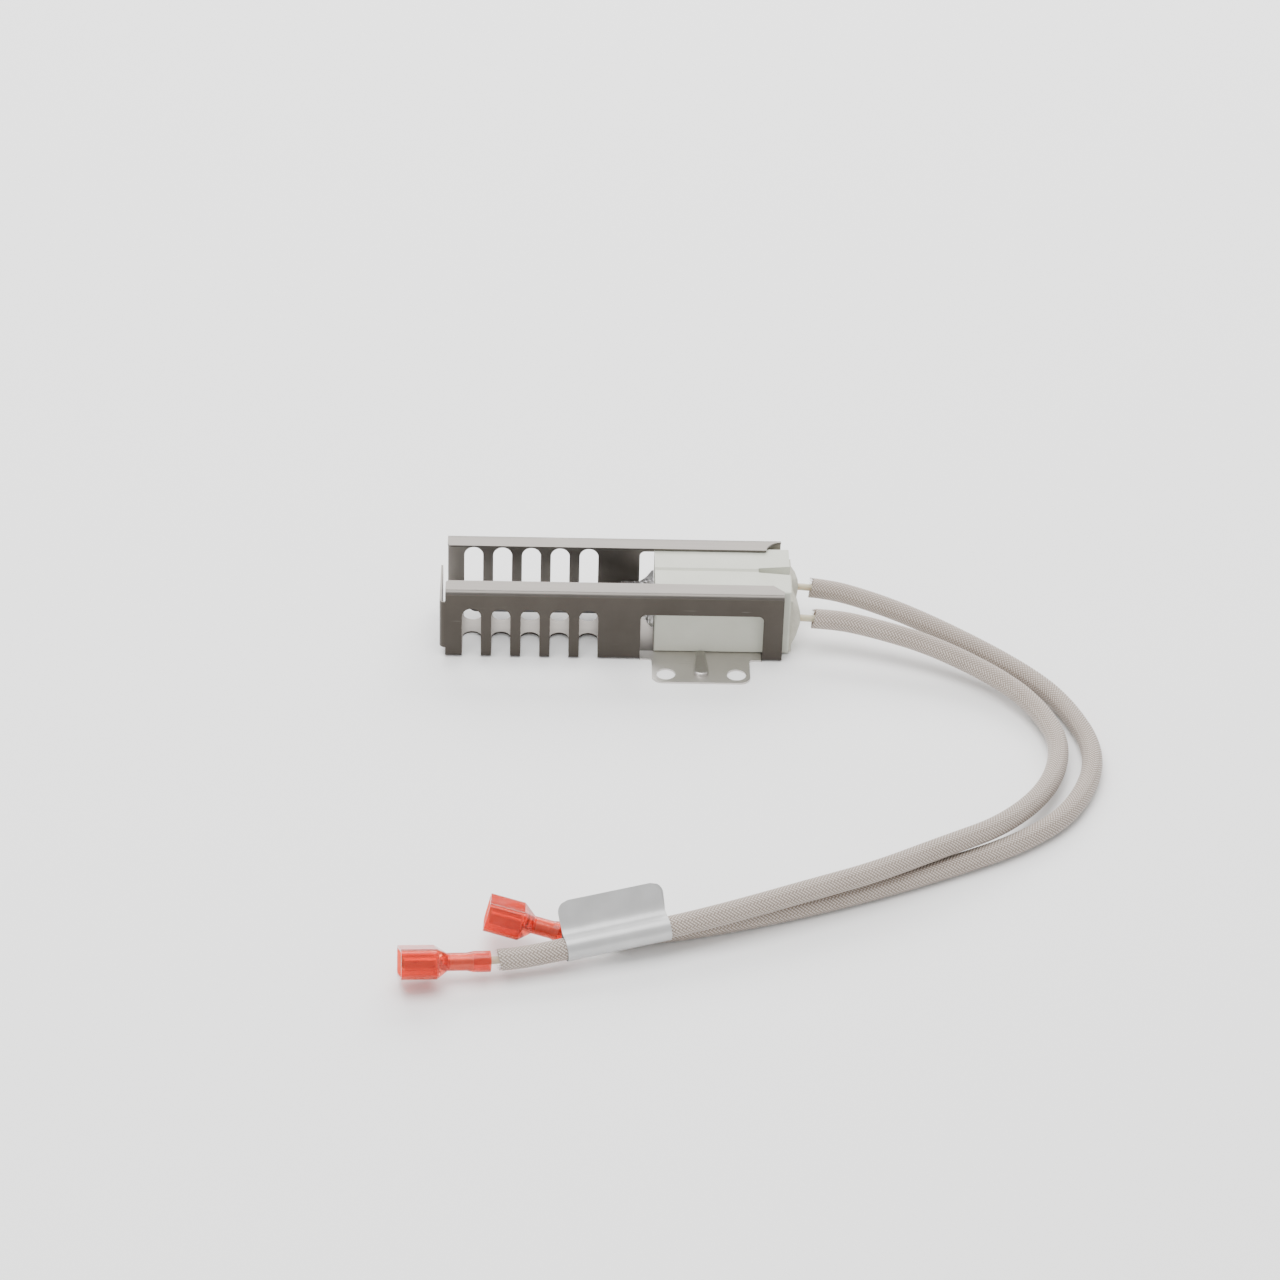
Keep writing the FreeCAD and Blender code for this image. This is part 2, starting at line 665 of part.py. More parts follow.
def make_cement_hump(name, sign):
    """A crown of cement drawn up round one lead, in three sections that shrink towards it."""
    body = new_body(name)
    lead = f"centre_line {sign} lead_pitch / 2"
    middle_across = f"centre_line {sign} block_half / 2"
    middle_up = "(block_bottom + block_top - wedge_depth) / 2"
    wide = "block_half - 2 * hump_margin"
    high = "block_top - wedge_depth - block_bottom - 2 * hump_margin"
    steps = (
        ("base", "hump_plate / 2", middle_across, middle_up, wide, high, "hump_corner"),
        ("shoulder", "hump_plate + hump_rise * 0.6", f"({middle_across} + {lead}) / 2",
         f"({middle_up} + lead_height) / 2", f"({wide} + hump_top) / 2", f"({high} + hump_top) / 2",
         "hump_corner"),
        ("top", "hump_plate + hump_rise", lead, "lead_height", "hump_top", "hump_top",
         "hump_top * 0.45"))
    sections = []
    for word, out, across, up, width, height, corner in steps:
        sketch = new_sketch(body, f"{name}_{word}", "YZ_Plane", f"block_right + {out}")
        sections.append(moved(soft_rectangle(sketch, width, height, corner), across, up))
    loft = body.newObject("PartDesign::AdditiveLoft", name + "_loft")
    loft.Profile = sections[0]
    loft.Sections = sections[1:]
    loft.Ruled = True
    doc.recompute()
    return body


def make_rear_cement():
    """The cement that closes the lead end of the holder."""
    plate = box("cement_end_plate",
                ("block_right", "centre_line - block_half + hump_margin / 2",
                 "block_bottom + hump_margin / 2"),
                ("block_right + hump_plate", "centre_line + block_half - hump_margin / 2",
                 "block_top - wedge_depth - hump_margin / 2"))
    humps = [make_cement_hump("cement_front_hump", "-"), make_cement_hump("cement_rear_hump", "+")]
    joined = doc.addObject("Part::MultiFuse", "rear_cement_joined")
    joined.Shapes = [plate] + humps
    bores = doc.addObject("Part::MultiFuse", "rear_cement_bores")
    bores.Shapes = [
        rod_along_x(f"cement_bore_{word}", "wire_outer / 2", "block_right - 1", "block_right + 4",
                    f"centre_line {sign} lead_pitch / 2", "lead_height")
        for word, sign in (("front", "-"), ("rear", "+"))]
    cement = doc.addObject("Part::Cut", "rear_cement")
    cement.Base = joined
    cement.Tool = bores
    doc.recompute()
    return keep("rear_cement", cement)


def make_front_cement():
    """The plug between the two legs, where the element leaves the holder."""
    grip = "element_wide / 2 - clip_grip"
    plug = box("cement_plug",
               ("block_left", f"centre_line - ({grip})", "lead_height - element_thick / 2 - clip_sheet"),
               ("block_left + front_cement_reach", f"centre_line + {grip}",
                "lead_height + element_thick / 2 + clip_sheet"))
    legs = [box(f"cement_leg_{word}",
                ("block_left - 1", low, "lead_height - element_thick / 2"),
                ("block_left + 9", high, "lead_height + element_thick / 2"))
            for word, low, high in (
                ("front", "centre_line - element_wide / 2", "centre_line - slit / 2"),
                ("rear", "centre_line + slit / 2", "centre_line + element_wide / 2"))]
    both = doc.addObject("Part::MultiFuse", "cement_legs")
    both.Shapes = legs
    cement = doc.addObject("Part::Cut", "front_cement")
    cement.Base = plug
    cement.Tool = both
    doc.recompute()
    return keep("front_cement", cement)


# ---------------------------------------------------------------- leads

def route_edges(route, label):
    """Straight runs joined by tangent arcs, each as large as its two runs allow."""
    points = [FreeCAD.Vector(*point) for point in route]
    edges = []
    radii = []
    start = points[0]
    for before, corner, after in zip(points, points[1:], points[2:]):
        back = (before - corner).normalize()
        ahead = (after - corner).normalize()
        reach = 0.45 * min((before - corner).Length, (after - corner).Length)
        half_turn = (math.pi - back.getAngle(ahead)) / 2
        radius = reach / math.tan(half_turn)
        inward = (back + ahead).normalize()
        crown = corner + inward * (radius / math.cos(half_turn) - radius)
        entry = corner + back * reach
        leave = corner + ahead * reach
        edges.append(Part.LineSegment(start, entry).toShape())
        edges.append(Part.Arc(entry, crown, leave).toShape())
        start = leave
        radii.append(radius)
    edges.append(Part.LineSegment(start, points[-1]).toShape())
    total = sum(edge.Length for edge in edges)
    print(f"{label}: {total:.1f} long, radii", " ".join(f"{radius:.0f}" for radius in radii))
    return edges


def stretch(edges, begin, finish):
    """The part of a path between two distances along it."""
    pieces = []
    travelled = 0.0
    for edge in edges:
        low = max(begin - travelled, 0.0)
        high = min(finish - travelled, edge.Length)
        if high - low > 1e-6:
            ends = [edge.getParameterByLength(distance) for distance in (low, high)]
            pieces.append(edge.Curve.toShape(*ends))
        travelled += edge.Length
    return pieces


def sweep(edges, diameter):
    """A round rod along a path."""
    path = Part.Wire(edges)
    first = edges[0]
    start = first.valueAt(first.FirstParameter)
    heading = first.tangentAt(first.FirstParameter)
    ring = Part.Wire(Part.Circle(start, heading, diameter / 2).toShape())
    return path.makePipeShell([ring], True, False, 1)


def check_volume(label, shape, edges, area):
    length = sum(edge.Length for edge in edges)
    share = shape.Volume / (area * length)
    print(f"{label}: length {length:.1f}, volume over section times length {share:.4f}")
    assert abs(share - 1) < 0.01, label


def make_wire(label, edges):
    wire = doc.addObject("Part::Feature", label)
    wire.Shape = sweep(edges, mm("wire_outer"))
    check_volume(label, wire.Shape, edges, math.pi * (mm("wire_outer") / 2) ** 2)
    return keep(label, wire)


def make_sleeve(label, edges, stop):
    """A woven sleeve, slid over the lead; its ends are open."""
    length = sum(edge.Length for edge in edges)
    covered = stretch(edges, mm("sleeve_start"), length - mm(stop))
    outside = sweep(covered, mm("sleeve_outer"))
    inside = sweep(covered, mm("sleeve_inner"))
    sleeve = doc.addObject("Part::Feature", label)
    sleeve.Shape = outside.cut(inside)
    area = math.pi * (mm("sleeve_outer") ** 2 - mm("sleeve_inner") ** 2) / 4
    check_volume(label, sleeve.Shape, covered, area)
    return keep(label, sleeve)


# ---------------------------------------------------------------- terminals

def terminal_frame(route, roll):
    """Terminal axes: X from the mouth to the lead, Y across the blade, Z through it."""
    inside = FreeCAD.Vector(*route[-1])
    outside = FreeCAD.Vector(*route[-2])
    axis = (outside - inside).normalize()
    level = FreeCAD.Rotation(axis, FreeCAD.Vector(), FreeCAD.Vector(0, 0, 1), "XZY")
    turn = level.multiply(FreeCAD.Rotation(FreeCAD.Vector(1, 0, 0), roll))
    mouth = inside - axis * (mm("shell_length") - mm("lead_grip"))
    return FreeCAD.Placement(mouth, turn)


def make_housing(label, frame):
    """A moulded shell: wide mouth, shoulders drawn in to a crimped neck, flared entry."""
    body = new_body(label)
    mouth = soft_rectangle(new_sketch(body, label + "_mouth", "YZ_Plane"),
                           "shell_wide", "shell_thick", "shell_corner")
    pad(body, mouth, "mouth_length")
    shoulder = body.newObject("PartDesign::AdditiveLoft", label + "_shoulder")
    shoulder.Profile = soft_rectangle(
        new_sketch(body, label + "_shoulder_start", "YZ_Plane", "mouth_length"),
        "shell_wide", "shell_thick", "shell_corner")
    shoulder.Sections = [soft_rectangle(
        new_sketch(body, label + "_shoulder_finish", "YZ_Plane", "shoulder_end"),
        "neck_outer", "neck_outer", "neck_outer / 2 - 0.4")]
    shoulder.Ruled = True
    doc.recompute()
    turned = outline(new_sketch(body, label + "_neck", "XY_Plane"), [
        ("shoulder_end - 0.5", "0"), ("shoulder_end - 0.5", "neck_outer / 2 - 0.1"),
        ("shoulder_end", "neck_outer / 2"), ("flare_start", "neck_outer / 2"),
        ("flare_end", "barrel_outer / 2"), ("shell_length", "barrel_outer / 2"),
        ("shell_length", "0")])
    spin = body.newObject("PartDesign::Revolution", label + "_barrel")
    spin.Profile = turned
    spin.ReferenceAxis = (turned, ["H_Axis"])
    spin.Angle = 360
    doc.recompute()
    cavity = soft_rectangle(new_sketch(body, label + "_cavity", "YZ_Plane"),
                            "shell_wide - 2 * shell_wall", "shell_thick - 2 * shell_wall",
                            "shell_corner - shell_wall")
    pocket(body, cavity, "mouth_length + 0.3", reverse=True)
    bore = circle(new_sketch(body, label + "_bore", "YZ_Plane"), "0", "0", "ferrule_outer / 2")
    pocket(body, bore, "shell_length", reverse=True)
    entry = circle(new_sketch(body, label + "_entry", "YZ_Plane", "shell_length - entry_depth"),
                   "0", "0", "entry_bore / 2")
    pocket(body, entry, "entry_depth", reverse=True)
    return keep(label, body, frame)


def make_receptacle(label, frame):
    """A brass push-on receptacle: flat floor, edges curled over, crimp barrel behind."""
    body = new_body(label)
    half = "receptacle_wide / 2"
    low = "0 - receptacle_high / 2"
    gauge = "receptacle_sheet"
    profile = outline(new_sketch(body, label + "_profile", "YZ_Plane", "receptacle_front"), [
        (f"0 - {half}", low), (half, low), (half, "receptacle_high / 2"),
        ("curl_gap / 2", "receptacle_high / 2"), ("curl_gap / 2", f"{low} + {gauge} + 0.85"),
        (f"curl_gap / 2 + {gauge}", f"{low} + {gauge} + 0.85"),
        (f"curl_gap / 2 + {gauge}", f"receptacle_high / 2 - {gauge}"),
        (f"{half} - {gauge}", f"receptacle_high / 2 - {gauge}"), (f"{half} - {gauge}", f"{low} + {gauge}"),
        (f"0 - {half} + {gauge}", f"{low} + {gauge}"),
        (f"0 - {half} + {gauge}", f"receptacle_high / 2 - {gauge}"),
        (f"0 - curl_gap / 2 - {gauge}", f"receptacle_high / 2 - {gauge}"),
        (f"0 - curl_gap / 2 - {gauge}", f"{low} + {gauge} + 0.85"),
        ("0 - curl_gap / 2", f"{low} + {gauge} + 0.85"),
        ("0 - curl_gap / 2", "receptacle_high / 2"), (f"0 - {half}", "receptacle_high / 2")])
    pad(body, profile, "receptacle_back - receptacle_front")
    dress(body, "Fillet", label + "_curl", "receptacle_high * 0.28", lambda edge: (
        runs_along(edge, "x") and near(abs(middle(edge).y), "receptacle_wide / 2")))
    neck = outline(new_sketch(body, label + "_neck", "XY_Plane", f"{low}"), [
        ("receptacle_back - 1.5", f"0 - {half} + 1.2"), ("receptacle_back", "0 - neck_half"),
        ("shoulder_end + 0.4", "0 - neck_half"), ("shoulder_end + 0.4", "neck_half"),
        ("receptacle_back", "neck_half"), ("receptacle_back - 1.5", f"{half} - 1.2")])
    pad(body, neck, gauge)
    riser = outline(new_sketch(body, label + "_riser", "XZ_Plane", "0 - neck_half"), [
        ("receptacle_back - 0.5", low), ("shoulder_end + 0.4", low),
        ("shoulder_end + 0.4", "0 - wire_outer / 2 - 0.1"),
        ("shoulder_end", "0 - wire_outer / 2 - 0.1")])
    pad(body, riser, "neck_half * 2")
    turned = outline(new_sketch(body, label + "_crimp", "XY_Plane"), [
        ("shoulder_end", "wire_outer / 2"), ("shoulder_end", "crimp_outer / 2"),
        ("flare_end", "crimp_outer / 2"), ("flare_end", "wire_outer / 2")])
    spin = body.newObject("PartDesign::Revolution", label + "_barrel")
    spin.Profile = turned
    spin.ReferenceAxis = (turned, ["H_Axis"])
    spin.Angle = 360
    doc.recompute()
    return keep(label, body, frame)


def make_ferrule(label, frame):
    """The copper sleeve that backs the crimp inside the shell."""
    tube = doc.addObject("Part::Cylinder", label + "_outer")
    tube.setExpression("Radius", linked("ferrule_outer / 2"))
    bore = doc.addObject("Part::Cylinder", label + "_inner")
    bore.setExpression("Radius", linked("crimp_outer / 2"))
    for part in (tube, bore):
        part.setExpression("Height", linked("flare_end - shoulder_end - 0.6"))
    ferrule = doc.addObject("Part::Cut", label)
    ferrule.Base = tube
    ferrule.Tool = bore
    doc.recompute()
    along = FreeCAD.Placement(FreeCAD.Vector(mm("shoulder_end + 0.6"), 0, 0),
                              FreeCAD.Rotation(FreeCAD.Vector(0, 1, 0), 90))
    return keep(label, ferrule, frame.multiply(along))


# ---------------------------------------------------------------- label

def make_label(edges):
    """A foil strip wrapped once round the front lead's sleeve, its ends joined as a flag."""
    length = sum(edge.Length for edge in edges)
    ends = []
    for distance in (length - mm("label_start") - mm("label_length"), length - mm("label_start")):
        piece = stretch(edges, distance, distance + 0.1)[0]
        ends.append(piece.valueAt(piece.FirstParameter))
    axis = (ends[0] - ends[1]).normalize()
    level = FreeCAD.Rotation(axis, FreeCAD.Vector(), FreeCAD.Vector(0, 0, 1), "XZY")
    turn = level.multiply(FreeCAD.Rotation(FreeCAD.Vector(1, 0, 0), mm("flag_tilt")))
    body = new_body("flag_label")
    wrap = circle(new_sketch(body, "wrap", "YZ_Plane"), "0", "0", "label_bore / 2 + label_sheet")
    circle(wrap, "0", "0", "label_bore / 2")
    pad(body, wrap, "label_length")
    fold = "label_bore / 2 + label_sheet"
    flag = outline(new_sketch(body, "flag", "XY_Plane", "0 - label_sheet"), [
        ("0", "label_bore / 4"), ("label_length", "label_bore / 4"),
        ("label_length", f"{fold} + flag_reach"), ("0", f"{fold} + flag_reach")])
    pad(body, flag, "label_sheet * 2")
    dress(body, "Fillet", "flag_corners", "flag_corner", lambda edge: (
        runs_along(edge, "z") and near(middle(edge).y, f"{fold} + flag_reach")))
    clear = circle(new_sketch(body, "wrap_clear", "YZ_Plane"), "0", "0", "label_bore / 2")
    pocket(body, clear, "label_length", reverse=True)
    return keep("flag_label", body, FreeCAD.Placement(ends[1], turn))


# ---------------------------------------------------------------- assembly

make_cage()
make_block_half("holder_front_half", -1)
make_block_half("holder_rear_half", 1)
make_element()
for place, side in (("front", -1), ("rear", 1)):
    make_clip(f"contact_clip_{place}", side)
    make_splice(f"lead_splice_{place}", side)
make_front_cement()
make_rear_cement()

rear_edges = route_edges(REAR_ROUTE, "rear lead")
front_edges = route_edges(FRONT_ROUTE, "front lead")
make_wire("lead_wire_rear", rear_edges)
make_wire("lead_wire_front", front_edges)
make_sleeve("lead_sleeve_rear", rear_edges, "rear_sleeve_stop")
make_sleeve("lead_sleeve_front", front_edges, "front_sleeve_stop")

for place, route, roll in (("rear", REAR_ROUTE, -20.0), ("front", FRONT_ROUTE, -30.0)):
    frame = terminal_frame(route, roll)
    make_housing(f"terminal_shell_{place}", frame)
    make_receptacle(f"terminal_receptacle_{place}", frame)
    make_ferrule(f"terminal_ferrule_{place}", frame)
make_label(front_edges)

doc.recompute()
for item in doc.Objects:
    assert not {"Invalid", "Error"} & set(item.State), f"{item.Name}: {item.State}"
os.makedirs("parts", exist_ok=True)
for node in nodes:
    shape = node.Shape
    assert not shape.isNull() and shape.isValid(), node.Label
    assert len(shape.Solids) == 1, f"{node.Label} has {len(shape.Solids)} solids"
    shape.exportStep(f"parts/{node.Label}.step")
print(f"{len(nodes)} sub-parts written")
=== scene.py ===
# A flat hot surface igniter from a gas oven: a silicon carbide element in a slotted steel cage,
# a ceramic holder, two braided leads, two red push-on terminals and a blank silver flag label.
import math
import random

import bmesh
import bpy
from mathutils import Matrix, Vector, noise


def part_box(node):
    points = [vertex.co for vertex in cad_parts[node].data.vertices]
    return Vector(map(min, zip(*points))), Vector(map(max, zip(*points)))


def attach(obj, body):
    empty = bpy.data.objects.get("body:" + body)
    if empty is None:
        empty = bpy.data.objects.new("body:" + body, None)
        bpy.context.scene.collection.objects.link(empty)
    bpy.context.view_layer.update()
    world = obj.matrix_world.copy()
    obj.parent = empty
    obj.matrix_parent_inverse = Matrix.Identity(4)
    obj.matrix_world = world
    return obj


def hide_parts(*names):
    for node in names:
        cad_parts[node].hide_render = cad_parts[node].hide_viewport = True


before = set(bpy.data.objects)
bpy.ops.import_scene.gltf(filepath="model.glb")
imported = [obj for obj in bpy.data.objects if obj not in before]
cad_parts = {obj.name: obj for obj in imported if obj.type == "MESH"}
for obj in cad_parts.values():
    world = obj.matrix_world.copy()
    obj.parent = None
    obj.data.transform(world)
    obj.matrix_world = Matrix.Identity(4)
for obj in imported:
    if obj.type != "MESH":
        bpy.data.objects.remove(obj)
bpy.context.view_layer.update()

# ------------------------------------------------------------------ camera
# A long lens looks down at the igniter from the tab side, so the cage lies level across the
# picture and both leads show from the holder to their terminals.
lens = bpy.data.cameras.new("long_lens")
lens.lens = 117.8
lens.sensor_width = 36.0
lens.clip_start = 0.05
camera = bpy.data.objects.new("camera", lens)
camera.location = (-0.04111, -0.89740, 0.61602)
camera.rotation_euler = [math.radians(turn) for turn in (56.008, -1.532, -0.560)]
bpy.context.collection.objects.link(camera)
bpy.context.scene.camera = camera

# ------------------------------------------------------------------ table and light
# A plain white table, lit as in a light tent: a wide lamp overhead, a lower one behind that
# the flat metal mirrors, and a weak one in front. The room itself gives an even pale fill.
TABLE_HALF = 3.0
TABLE_WHITE = (0.93, 0.93, 0.93, 1)
TABLE_ROUGHNESS = 0.9
ROOM_WHITE = (1.0, 0.995, 0.985, 1)
ROOM_STRENGTH = 0.9

table_mesh = bmesh.new()
bmesh.ops.create_grid(table_mesh, x_segments=1, y_segments=1, size=TABLE_HALF)
table_data = bpy.data.meshes.new("table")
table_mesh.to_mesh(table_data)
table_mesh.free()
table = bpy.data.objects.new("table", table_data)
bpy.context.collection.objects.link(table)
table_paint = bpy.data.materials.new("white_table")
table_paint.use_nodes = True
table_shader = table_paint.node_tree.nodes["Principled BSDF"]
table_shader.inputs["Base Color"].default_value = TABLE_WHITE
table_shader.inputs["Roughness"].default_value = TABLE_ROUGHNESS
table_data.materials.append(table_paint)

room = bpy.data.worlds.new("light_tent")
room.use_nodes = True
room.node_tree.nodes["Background"].inputs["Color"].default_value = ROOM_WHITE
room.node_tree.nodes["Background"].inputs["Strength"].default_value = ROOM_STRENGTH
bpy.context.scene.world = room


def hang_lamp(name, place, toward, width, depth, watts):
    """A flat soft lamp at a place, facing a point."""
    light = bpy.data.lights.new(name, "AREA")
    light.shape = "RECTANGLE"
    light.size = width
    light.size_y = depth
    light.energy = watts
    lamp = bpy.data.objects.new(name, light)
    lamp.location = place
    facing = Vector(toward) - Vector(place)
    lamp.rotation_euler = facing.to_track_quat("-Z", "Y").to_euler()
    bpy.context.collection.objects.link(lamp)


hang_lamp("overhead_lamp", place=(-0.15, -0.1, 1.1), toward=(0.0, -0.05, 0.0),
          width=0.9, depth=0.9, watts=16.0)
hang_lamp("rear_lamp", place=(0.1, 1.1, 0.75), toward=(0.0, 0.0, 0.0),
          width=1.5, depth=0.7, watts=26.0)
hang_lamp("front_lamp", place=(-0.7, -0.9, 0.5), toward=(0.0, -0.05, 0.0),
          width=0.5, depth=0.5, watts=2.5)


# ------------------------------------------------------------------ cage
# Cold-rolled stainless sheet, pressed, slotted and wrapped into a trough, with a fine rolling
# grain, soft smears and light scratches. Its tone isn't the bare metal's but painted reflection, set
# part by part: a dark painted reflection on the front wall, a lighter painted reflection on the rear
# wall, and on the screw tab the palest, a painted reflection of the holder.
MM = 0.001
UNDER_LIPS = (0.0197, 0.0190)
FRONT_WALL = (0.0085, 0.0070)
OVER_FLOOR = (0.0003, 0.0008)
REAR_WALL = (0.0330, 0.0345)
WINDOW_LEFT = (-0.0160, -0.0157)
WINDOW_RIGHT = (0.0160, 0.0157)
TAB_ROOT = (0.0108, 0.0104)
TAB_TOP = (0.0016, 0.0012)
ROLLING_DEPTH = 0.000012


class Reading:
    """One value in a material's nodes. Arithmetic on it adds Math nodes."""

    def __init__(self, finish, socket):
        self.finish = finish
        self.socket = socket

    def maths(self, operation, *values):
        return self.finish.node("ShaderNodeMath", {"operation": operation}, dict(enumerate(values)))

    def __add__(self, other):
        return self.maths("ADD", self, other)

    def __radd__(self, other):
        return self.maths("ADD", other, self)

    def __sub__(self, other):
        return self.maths("SUBTRACT", self, other)

    def __rsub__(self, other):
        return self.maths("SUBTRACT", other, self)

    def __mul__(self, other):
        return self.maths("MULTIPLY", self, other)

    def __rmul__(self, other):
        return self.maths("MULTIPLY", other, self)


class Finish:
    """A material whose nodes are added by one method, node, and end in one Principled shader."""

    def __init__(self, name, settings):
        self.material = bpy.data.materials.new(name)
        self.material.use_nodes = True
        self.nodes = self.material.node_tree.nodes
        self.shader = self.nodes["Principled BSDF"]
        for socket, value in settings.items():
            self.feed(self.shader.inputs[socket], value)

    def feed(self, socket, value):
        if isinstance(value, Reading):
            self.material.node_tree.links.new(value.socket, socket)
        else:
            socket.default_value = value

    def node(self, kind, settings, values, answer=0):
        made = self.nodes.new(kind)
        for name, setting in settings.items():
            setattr(made, name, setting)
        for socket, value in values.items():
            self.feed(made.inputs[socket], value)
        return Reading(self, made.outputs[answer])

    def place(self, stretch=(1, 1, 1)):
        """The point on the object in metres, squeezed along each axis."""
        point = self.node("ShaderNodeTexCoord", {}, {}, "Object")
        return self.node("ShaderNodeMapping", {}, {"Vector": point, "Scale": stretch})

    def grain(self, size, detail=3.0, stretch=(1, 1, 1)):
        """Noise from 0 to 1 whose blotches are about size metres across."""
        return self.node("ShaderNodeTexNoise", {}, {"Vector": self.place(stretch), "Scale": 1 / size,
                                                    "Detail": detail, "Roughness": 0.55})

    def spread(self, value, low, high):
        """A value squeezed so that low becomes 0 and high becomes 1."""
        return self.node("ShaderNodeMapRange", {"interpolation_type": "SMOOTHSTEP"},
                         {"Value": value, "From Min": low, "From Max": high})

    def tint(self, amount, first, second):
        """A colour between two, by an amount from 0 to 1."""
        return self.node("ShaderNodeMix", {"data_type": "RGBA"},
                         {0: amount, 6: first, 7: second}, 2)

    def relief(self, height, depth, strength):
        """A bump of this depth in metres."""
        return self.node("ShaderNodeBump", {},
                         {"Height": height, "Distance": depth, "Strength": strength})

    def wear(self, **links):
        """Feed the shader's own sockets; an underscore stands for a space."""
        for socket, value in links.items():
            self.feed(self.shader.inputs[socket.replace("_", " ")], value)
        return self.material


def grey(level, warmth=0.0):
    """A grey of this level, warmer where warmth is above 0."""
    return (level * (1 + warmth), level, level * (1 - warmth), 1)


def dress_node(name, material):
    """Give a node that keeps its own shape its finish."""
    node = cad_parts[name]
    node.data.materials.clear()
    node.data.materials.append(material)


def stainless_sheet():
    finish = Finish("stainless_sheet", {"Metallic": 1.0})
    point = finish.node("ShaderNodeTexCoord", {}, {}, "Object")
    along, back, up = (finish.node("ShaderNodeSeparateXYZ", {}, {0: point}, axis) for axis in "XYZ")
    under_lips = finish.spread(up, *UNDER_LIPS)
    front_wall = finish.spread(back, *FRONT_WALL) * finish.spread(up, *OVER_FLOOR) * under_lips
    rear_wall = finish.spread(back, *REAR_WALL) * under_lips
    in_window = finish.spread(along, *WINDOW_LEFT) * finish.spread(along, *WINDOW_RIGHT)
    tab = finish.spread(back, *TAB_ROOT) * finish.spread(up, *TAB_TOP) * in_window
    rolling = finish.grain(0.0009, 5.0, (0.05, 1, 1))
    smears = finish.grain(0.011, 4.0, (1, 1, 0.7))
    scratches = finish.spread(finish.grain(0.0005, 2.0, (0.03, 1, 0.6)), 0.70, 0.76)
    tone = finish.tint(smears, grey(0.11, 0.10), grey(0.155, 0.07))
    # Painted reflections fixed to the sheet: dark on the front wall, lighter on the rear wall, and a
    # painted reflection of the holder, palest, on the screw tab.
    front_wall_painted_dark_reflection = finish.tint(smears, grey(0.045, 0.16), grey(0.075, 0.12))
    rear_wall_painted_reflection = finish.tint(smears, grey(0.24, 0.10), grey(0.34, 0.08))
    tab_painted_holder_reflection = finish.tint(smears, grey(0.48, 0.05), grey(0.60, 0.04))
    tone = finish.tint(front_wall, tone, front_wall_painted_dark_reflection)
    tone = finish.tint(rear_wall, tone, rear_wall_painted_reflection)
    tone = finish.tint(tab, tone, tab_painted_holder_reflection)
    tone = finish.tint(scratches * 0.25, tone, grey(0.30, 0.03))
    rough = 0.26 + smears * 0.16 + rolling * 0.08
    return finish.wear(Base_Color=tone, Roughness=rough,
                       Normal=finish.relief(rolling + scratches * 0.4, ROLLING_DEPTH, 0.55))


dress_node("cage", stainless_sheet())


# ------------------------------------------------------------------ ceramic holder
# Two halves of pressed and fired steatite, glued face to face, unglazed. The surface is matt
# with a fine speckle, and the furnace and the assembler's hands leave faint brown marks.
def steatite():
    finish = Finish("steatite", {"Roughness": 0.6, "Specular IOR Level": 0.35})
    clouds = finish.grain(0.006, 4.0)
    powder = finish.grain(0.00022, 4.0)
    specks = finish.spread(finish.grain(0.00045, 1.0), 0.70, 0.76)
    tone = finish.tint(clouds, (0.50, 0.51, 0.435, 1), (0.60, 0.61, 0.54, 1))
    tone = finish.tint(specks * 0.35, tone, (0.42, 0.34, 0.25, 1))
    return finish.wear(Base_Color=tone, Roughness=0.5 + powder * 0.25,
                       Normal=finish.relief(powder + clouds * 0.5, 0.00005, 0.5))


holder_finish = steatite()
for half in ("holder_front_half", "holder_rear_half"):
    dress_node(half, holder_finish)


# ------------------------------------------------------------------ igniter element
# Recrystallised silicon carbide, sawn to a flat bar with one slit. It is dark and granular, with
# glints of crystal, and its cold end is metallised to a bluish grey where the clips grip it.
COLD_END = (-0.0235, -0.0205)
CRYSTALS_PER_METRE = 5200.0


def silicon_carbide():
    finish = Finish("silicon_carbide", {"Specular IOR Level": 0.6})
    point = finish.node("ShaderNodeTexCoord", {}, {}, "Object")
    along = finish.node("ShaderNodeSeparateXYZ", {}, {0: point}, 0)
    cold = finish.spread(along, *COLD_END)
    grit = finish.node("ShaderNodeTexVoronoi", {}, {"Vector": point, "Scale": CRYSTALS_PER_METRE})
    patches = finish.grain(0.0015, 3.0)
    dark = finish.tint(patches, grey(0.035, 0.02), grey(0.10, 0.03))
    tone = finish.tint(cold, dark, (0.30, 0.33, 0.37, 1))
    return finish.wear(Base_Color=tone, Metallic=cold * 0.6, Roughness=0.72 - grit * 0.3,
                       Normal=finish.relief(grit + patches * 0.4, 0.00008, 0.7))


dress_node("igniter_element", silicon_carbide())


# ------------------------------------------------------------------ contact clips and splices
# Thin nickel alloy strip, folded by hand round the element's metallised legs and crimped to the
# leads. The strip is bright, creased by the pliers, and slightly blued by the first firings.
CREASE_STEP = 0.45 * MM
CREASE_ROUNDS = 5
CREASE_SIZE = 1.1 * MM
CREASE_DEPTHS = {"front": 0.38 * MM, "rear": 0.12 * MM}
CLAMPED_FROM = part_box("holder_front_half")[0][0]
MERGE_WITHIN = 0.01 * MM


def creased_strip():
    finish = Finish("creased_strip", {"Metallic": 1.0})
    creases = finish.grain(0.0016, 2.0, (1, 1, 0.6))
    heat = finish.grain(0.004, 2.0)
    tone = finish.tint(heat, (0.50, 0.50, 0.54, 1), (0.74, 0.72, 0.69, 1))
    return finish.wear(Base_Color=tone, Roughness=0.18 + creases * 0.2,
                       Normal=finish.relief(creases, 0.0003, 0.8))


